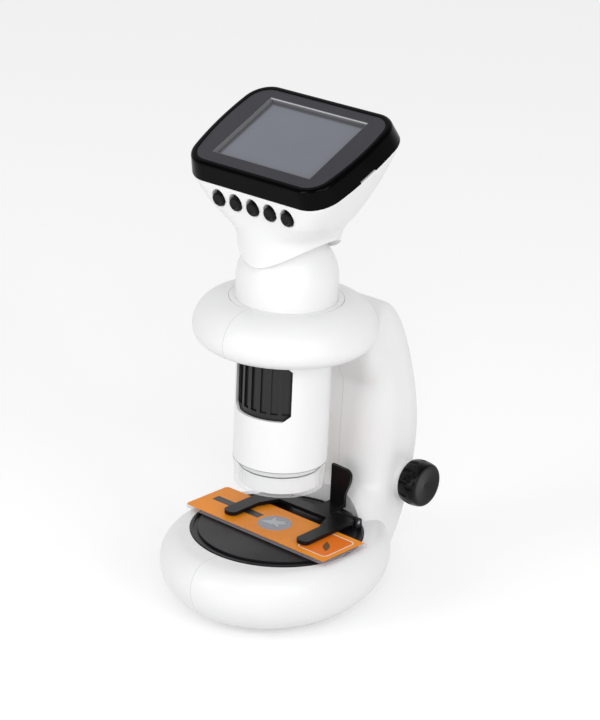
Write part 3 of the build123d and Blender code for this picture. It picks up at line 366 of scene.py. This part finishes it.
# ---------------------------------------------------------------- label print
# The film is printed with a few plain inks: a dark strip for a name, left bare, and a deeper
# orange field in a rounded white frame, with a leaf in it.
slide_turn = radians(-1.2)
label_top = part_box("slide_label")[1][2]
slide_place = Matrix.Translation((-0.0011, -0.0002, label_top))
slide_place = slide_place @ Matrix.Rotation(slide_turn, 4, "Z")
ink = 0.00002
strip_middle, strip_size = (-0.0213, 0.0007), (0.0256, 0.0042)
field_middle, field_size = (0.0277, 0.0001), (0.0154, 0.0190)
field_corner = 0.0023
field_line = 0.00045
leaf_middle, leaf_length, leaf_width = (0.0291, -0.0012), 0.0088, 0.0030
leaf_turn = radians(-52)
leaf_taper = 0.35
soft_edge = radians(35)


def new_piece(name, form, material, body):
    """A piece of the object from a bmesh: smooth faces, one material, moving with that body."""
    bmesh.ops.recalc_face_normals(form, faces=form.faces[:])
    for face in form.faces:
        face.smooth = True
    for edge in form.edges:
        edge.smooth = edge.calc_face_angle(0) < soft_edge
    mesh = bpy.data.meshes.new(name)
    form.to_mesh(mesh)
    form.free()
    piece = bpy.data.objects.new(name, mesh)
    scene.collection.objects.link(piece)
    mesh.materials.append(material)
    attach(piece, body)
    return piece


def patch(middle, size, corner=0.0):
    """A flat patch of ink with round corners, lying on the film."""
    form = bmesh.new()
    place = Matrix.Translation((*middle, 0)) @ Matrix.Diagonal((*size, 1, 1))
    bmesh.ops.create_grid(form, x_segments=1, y_segments=1, size=0.5, matrix=place)
    if corner:
        bmesh.ops.bevel(
            form, geom=form.verts[:], offset=corner, affect="VERTICES", segments=10,
            profile=0.5, material=-1)
    return form


def leaf(middle, length, width, turn):
    """A long leaf: a round patch drawn out to a point at each end."""
    form = bmesh.new()
    bmesh.ops.create_circle(form, cap_ends=True, segments=48, radius=1)
    for vert in form.verts:
        vert.co.y *= (1 - abs(vert.co.x)) ** leaf_taper
    shape = Matrix.Rotation(turn, 4, "Z") @ Matrix.Diagonal((length / 2, width / 2, 1, 1))
    place = Matrix.Translation((*middle, 0)) @ shape
    bmesh.ops.transform(form, matrix=place, verts=form.verts)
    bmesh.ops.remove_doubles(form, verts=form.verts, dist=1e-6)
    return form


def printed(name, form, height, material):
    """The flat form with the ink's thickness, at that height on the slide."""
    bmesh.ops.solidify(form, geom=form.faces[:], thickness=ink)
    bmesh.ops.recalc_face_normals(form, faces=form.faces[:])
    low = min(vert.co.z for vert in form.verts)
    bmesh.ops.translate(form, vec=(0, 0, height - low), verts=form.verts)
    bmesh.ops.transform(form, matrix=slide_place, verts=form.verts)
    new_piece(name, form, material, "specimen_slide")


strip_ink = plastic("strip_ink", (0.050, 0.049, 0.047), 0.3, tone=0.1, gloss=0.2)
deep_orange = plastic("deep_orange", (0.86, 0.19, 0.010), 0.3, tone=0.08, gloss=0.14)
white_ink = plastic("white_ink", (0.90, 0.84, 0.78), 0.4, gloss=0.2)
leaf_ink = plastic("leaf_ink", (0.16, 0.075, 0.020), 0.35, tone=0.2, gloss=0.2)
printed("name_strip", patch(strip_middle, strip_size), 0, strip_ink)
printed("label_field", patch(field_middle, field_size, field_corner), 0, deep_orange)
frame_line = patch(field_middle, field_size, field_corner)
bmesh.ops.inset_region(
    frame_line, faces=frame_line.faces[:], thickness=field_line, use_boundary=True,
    use_even_offset=True)
largest = max(frame_line.faces, key=lambda face: face.calc_area())
bmesh.ops.delete(frame_line, geom=[largest], context="FACES_ONLY")
printed("field_frame", frame_line, ink, white_ink)
printed("field_leaf", leaf(leaf_middle, leaf_length, leaf_width, leaf_turn), ink, leaf_ink)

# ---------------------------------------------------------------- specimen
# A pale dried scrap with three barbs shows in the slide's window.
# It is thin and opaque, and each barb lies a little over the last.
scrap_middle, scrap_length, scrap_width = (-0.0006, 0.0004), 0.0105, 0.0040
scrap_turn = radians(28)
barb_width = 0.0015
barb_step = 0.00004
barbs = (
    ((-0.0021, 0.0018), 0.0058, 118),
    ((0.0016, 0.0020), 0.0060, 74),
    ((0.0018, -0.0012), 0.0052, 160),
)


def add(form, other):
    """Puts the other form's faces into the form."""
    mesh = bpy.data.meshes.new("part")
    other.to_mesh(mesh)
    other.free()
    form.from_mesh(mesh)
    bpy.data.meshes.remove(mesh)


specimen_pale = plastic(
    "specimen_pale", (0.62, 0.65, 0.68), 0.5, tone=0.25, grain=0.6, gloss=0.3)
specimen = leaf(scrap_middle, scrap_length, scrap_width, scrap_turn)
for layer, (spot, length, turn) in enumerate(barbs, 1):
    barb = leaf(spot, length, barb_width, radians(turn))
    bmesh.ops.translate(barb, vec=(0, 0, layer * barb_step), verts=barb.verts)
    add(specimen, barb)
printed("specimen", specimen, 0, specimen_pale)

# ---------------------------------------------------------------- tube
# The tube is one white ABS moulding with a window in front of the focus wheel.
# A black ABS ring is pressed in under the wheel and carries it.
finish(white_abs, "barrel_shell")
finish(black_abs, "wheel_retainer")

# ---------------------------------------------------------------- focus wheel
# The wheel is one black ABS moulding with plain rims and deep upright flutes between them.
# It turns inside the tube, by a finger through the tube's window.
wheel_black = plastic(
    "wheel_black", (0.009, 0.009, 0.010), 0.30, tone=0.2, grain=0.08, gloss=0.4)
finish(wheel_black, "focus_wheel")

# ---------------------------------------------------------------- clear tip
# The tube ends in a clear moulded skirt round a white cup, which throws the lamps' light
# down. The lamps are cast in clear epoxy and soldered to a ring-shaped board above the cup.
tip_clear = clear_plastic("tip_clear", (0.94, 0.95, 0.96), 0.07, 0.10, 0.55)
lamp_epoxy = plastic("lamp_epoxy", (0.85, 0.85, 0.75), 0.2)
board_green = plastic("board_green", (0.02, 0.12, 0.06), 0.4)
finish(tip_clear, "clear_tip")
finish(white_abs, "reflector_cup")
finish(lamp_epoxy, "ring_lamps")
finish(board_green, "lamp_board")

# ---------------------------------------------------------------- lens carrier
# The carrier is a black barrel with a clear lens in its foot. The wheel moves it along two
# steel rods, which stand between a spoked plate and the board with the image sensor.
finish(black_abs, "rod_plate", "lens_barrel", "image_sensor")
finish(tip_clear, "objective_lens")
finish(dull_steel, "guide_rods")
finish(board_green, "sensor_board")

# ---------------------------------------------------------------- tip joint
# The clear tip is pushed up into the tube's foot, and a fine shadow line marks the joint.
# A dark ring round the cup, seen through the clear wall, is a painted dark reflection of the
# cup's inner edge.
joint_line = 0.00022
joint_sink, joint_drop = 0.00004, 0.00005
reflection_ring_radius, reflection_ring_thickness = 0.01655, 0.0005
reflection_ring_drop = 0.0031


def hoop(radius, thickness, sides, steps):
    """A ring of round section about the upright axis."""
    form = bmesh.new()
    upright = Matrix.Translation((radius, 0, 0)) @ Matrix.Rotation(pi / 2, 4, "X")
    bmesh.ops.create_circle(form, segments=sides, radius=thickness / 2, matrix=upright)
    bmesh.ops.spin(
        form, geom=form.verts[:] + form.edges[:], cent=(0, 0, 0), axis=(0, 0, 1),
        angle=2 * pi, steps=steps, use_merge=True)
    return form


def tip_hoop(name, radius, height, thickness, material):
    """A ring round the tip, at that height."""
    form = hoop(radius, thickness, sides=12, steps=128)
    bmesh.ops.translate(form, vec=(0, 0, height), verts=form.verts)
    new_piece(name, form, material, "handset")


tube_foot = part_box("barrel_shell")[0][2]
tip_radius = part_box("clear_tip")[1][0]
joint_grey = plastic("joint_grey", (0.16, 0.16, 0.17), 0.5, tone=0.1, grain=0.1, gloss=0.3)
# Painted dark reflection: a dark ring where the cup's inner edge reflects black.
painted_dark_reflection = plastic("painted_dark_reflection", (0.03, 0.03, 0.034), 0.45, tone=0.2, grain=0.2, gloss=0.4)
tip_hoop(
    "tip_joint", tip_radius - joint_sink, tube_foot - joint_drop, joint_line, joint_grey)
tip_hoop(
    "tip_painted_reflection", reflection_ring_radius, tube_foot - reflection_ring_drop, reflection_ring_thickness, painted_dark_reflection)

# ---------------------------------------------------------------- neck
# The neck is one white ABS moulding: a plain tube whose top is closed by a round dome.
# The head's skirt turns on the dome with a small gap.
neck_radius = 0.02035
dome_middle = Vector((0, 0, 0.1415))
neck_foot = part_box("neck_shell")[0][2]


def ball(radius, middle):
    """A round solid about its middle."""
    form = bmesh.new()
    bmesh.ops.create_uvsphere(
        form, u_segments=128, v_segments=64, radius=radius, matrix=Matrix.Translation(middle))
    return form


dome = ball(neck_radius, dome_middle)
bmesh.ops.bisect_plane(
    dome, geom=dome.verts[:] + dome.edges[:] + dome.faces[:], plane_co=dome_middle,
    plane_no=(0, 0, 1), clear_inner=True)
waist = [edge for edge in dome.edges if edge.is_boundary]
drawn = bmesh.ops.extrude_edge_only(dome, edges=waist)["geom"]
foot = [part for part in drawn if isinstance(part, bmesh.types.BMVert)]
bmesh.ops.translate(dome, vec=(0, 0, neck_foot - dome_middle.z), verts=foot)
bmesh.ops.holes_fill(dome, edges=[edge for edge in dome.edges if edge.is_boundary])
neck_dome = new_piece("neck_dome", dome, white_abs, "handset")
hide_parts("neck_shell")

# ---------------------------------------------------------------- head
# The head is one hollow white ABS funnel. Its sides sweep softly from the screen's frame down
# to a round skirt, whose edge is scooped at the left and right where it sits on the dome.
# A hollow white pivot hangs from it and turns in the neck.
skirt_radius = 0.0203
skirt_low, skirt_top = 0.1440, 0.1640
skirt_gap = 0.0003
scoop_radius = 0.02435
scoop_length = 0.06
scoop_axis = Vector((0, 0, 0.1364))
blend_low, blend_high = 0.1500, 0.1695
blend_rounds = 160
blend_voxel = 0.0006
key_lean = radians(13.9)
key_place = Matrix.Rotation(pi / 2 - key_lean, 4, "X")
key_hole_radius, key_hole_depth = 0.0032, 0.012
keys = [f"button_{count}" for count in range(1, 6)]


def drum(radius, length, middle, turn=Matrix()):
    """A solid drum, standing or turned, about its middle."""
    form = bmesh.new()
    bmesh.ops.create_cone(
        form, cap_ends=True, segments=128, radius1=radius, radius2=radius, depth=length,
        matrix=Matrix.Translation(middle) @ turn)
    return form


def middle_of(node):
    """The middle of a CAD node's box."""
    low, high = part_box(node)
    return (Vector(low) + Vector(high)) / 2


def helper(name, form):
    """An object that only shapes another one, and is thrown away after."""
    mesh = bpy.data.meshes.new(name)
    form.to_mesh(mesh)
    form.free()
    tool = bpy.data.objects.new(name, mesh)
    scene.collection.objects.link(tool)
    return tool


def worked(tool):
    """A bmesh of the object with its modifiers worked in; the object is thrown away."""
    graph = bpy.context.evaluated_depsgraph_get()
    mesh = bpy.data.meshes.new_from_object(tool.evaluated_get(graph))
    form = bmesh.new()
    form.from_mesh(mesh)
    bpy.data.objects.remove(tool)
    bpy.data.meshes.remove(mesh)
    return form


def cut(form, *cutters):
    """The form less each cutter."""
    blank = helper("blank", form)
    blades = [helper("blade", cutter) for cutter in cutters]
    for blade in blades:
        step = blank.modifiers.new("cut", "BOOLEAN")
        step.operation = "DIFFERENCE"
        step.object = blade
    form = worked(blank)
    for blade in blades:
        bpy.data.objects.remove(blade)
    return form


funnel = bmesh.new()
funnel.from_mesh(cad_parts["head_shell"].data)
bmesh.ops.remove_doubles(funnel, verts=funnel.verts, dist=1e-6)
skirt_middle = Vector((0, 0, (skirt_low + skirt_top) / 2))
add(funnel, drum(skirt_radius, skirt_top - skirt_low, skirt_middle))
funnel = helper("funnel", funnel)
fused = funnel.modifiers.new("fused", "REMESH")
fused.mode = "VOXEL"
fused.voxel_size = blend_voxel
funnel = worked(funnel)
crease = [vert for vert in funnel.verts if blend_low < vert.co.z < blend_high]
for _ in range(blend_rounds):
    bmesh.ops.smooth_vert(
        funnel, verts=crease, factor=0.5, use_axis_x=True, use_axis_y=True, use_axis_z=True)
socket = ball(neck_radius + skirt_gap, dome_middle)
scoop = drum(scoop_radius, scoop_length, scoop_axis, Matrix.Rotation(pi / 2, 4, "Y"))
key_holes = [drum(key_hole_radius, key_hole_depth, middle_of(key), key_place) for key in keys]
funnel = cut(funnel, socket, scoop, *key_holes)
head_funnel = new_piece("head_funnel", funnel, white_abs, "head")
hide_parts("head_shell")
finish(white_abs, "swivel_pivot")

# ---------------------------------------------------------------- screen frame
# A gloss black ABS frame is snapped on to the funnel's rim. It holds a smooth dark panel,
# with the unlit screen behind the panel's opening.
bezel_black = plastic(
    "bezel_black", (0.0015, 0.0015, 0.0018), 0.12, tone=0.2, grain=0.02, gloss=0.055)
panel_black = plastic(
    "panel_black", (0.021, 0.020, 0.029), 0.34, tone=0.1, grain=0.03, gloss=0.4)
screen_grey = plastic("screen_grey", (0.17, 0.18, 0.215), 0.15, tone=0.04, grain=0.02)
finish(bezel_black, "bezel")
finish(panel_black, "screen_panel")
finish(screen_grey, "lcd_panel")

# ---------------------------------------------------------------- screen lining
# A clear cover lies in the opening. Its cut edges line the opening's walls in pale grey, the far
# edge has a painted highlight, a thin pale strip, and the screen has a narrow grey border.
screen_width, screen_height = 0.0494, 0.0370
screen_recess = 0.0020
screen_tilt = radians(24.9)
screen_middle = Vector((0, -0.00119, 0.19675))
screen_place = Matrix.Translation(screen_middle) @ Matrix.Rotation(screen_tilt, 4, "X")
lining_wall = 0.0002
cover_sink, glint_drop = 0.0001, 0.0003
lining_height = screen_recess - cover_sink
glint_width, glint_height = 0.0003, 0.0004
border_width, border_height = 0.0016, 0.00006
inner_width = screen_width - 2 * lining_wall
inner_height = screen_height - 2 * lining_wall


def slab(form, length, width, height, middle):
    """A block in the form, about its middle."""
    size = Matrix.Diagonal((length, width, height, 1))
    bmesh.ops.create_cube(form, size=1, matrix=Matrix.Translation(middle) @ size)


def on_screen(name, form, material):
    """The form, laid in the screen's opening."""
    bmesh.ops.transform(form, matrix=screen_place, verts=form.verts)
    new_piece(name, form, material, "head")


lining_grey = plastic(
    "lining_grey", (0.20, 0.20, 0.21), 0.3, tone=0.05, grain=0.02, gloss=0.3)
lining = bmesh.new()
for side in (-1, 1):
    x = side * (screen_width - lining_wall) / 2
    slab(lining, lining_wall, screen_height, lining_height, (x, 0, lining_height / 2))
    y = side * (screen_height - lining_wall) / 2
    slab(lining, inner_width, lining_wall, lining_height, (0, y, lining_height / 2))
on_screen("screen_lining", lining, lining_grey)

# Painted highlight: a thin pale strip along the cover's far edge, where it catches the light.
painted_glint = plastic("painted_glint", (0.60, 0.60, 0.62), 0.3, tone=0.05, grain=0.02)
glint = bmesh.new()
slab(glint, inner_width, glint_width, glint_height,
     (0, (inner_height - glint_width) / 2, lining_height - glint_drop))
on_screen("cover_glint", glint, painted_glint)

border_grey = plastic(
    "border_grey", (0.115, 0.115, 0.124), 0.2, tone=0.05, grain=0.02, gloss=0.4)
border = bmesh.new()
slab(border, border_width, inner_height, border_height,
     ((border_width - inner_width) / 2, 0, border_height / 2))
slab(border, inner_width - border_width, border_width, border_height,
     (border_width / 2, (inner_height - border_width) / 2, border_height / 2))
on_screen("screen_border", border, border_grey)

# ---------------------------------------------------------------- head's inside
# A green circuit board lies against the back of the screen's frame, with a foil-wrapped
# battery glued to it. Both show only when the head is taken apart.
pouch = plastic("battery_pouch", (0.5, 0.5, 0.52), 0.4)
finish(board_green, "main_board")
finish(pouch, "battery")

# ---------------------------------------------------------------- buttons
# Five black silicone keys stand a little proud of the head's front, each in its own hole.
# A fine raised rim runs round the face of each.
rim_radius, rim_thickness = 0.0019, 0.00022
rim_front = 0.00195
outwards = Vector((0, -cos(key_lean), -sin(key_lean)))
key_black = plastic("key_black", (0.004, 0.004, 0.005), 0.32, tone=0.2, grain=0.2, gloss=0.12)
key_ring = plastic("key_ring", (0.02, 0.02, 0.022), 0.22, tone=0.2, grain=0.1)
for count, key in enumerate(keys, 1):
    finish(key_black, key)
    rim = hoop(rim_radius, rim_thickness, sides=8, steps=48)
    rim_place = Matrix.Translation(middle_of(key) + outwards * rim_front) @ key_place
    bmesh.ops.transform(rim, matrix=rim_place, verts=rim.verts)
    new_piece(f"key_rim_{count}", rim, key_ring, key)
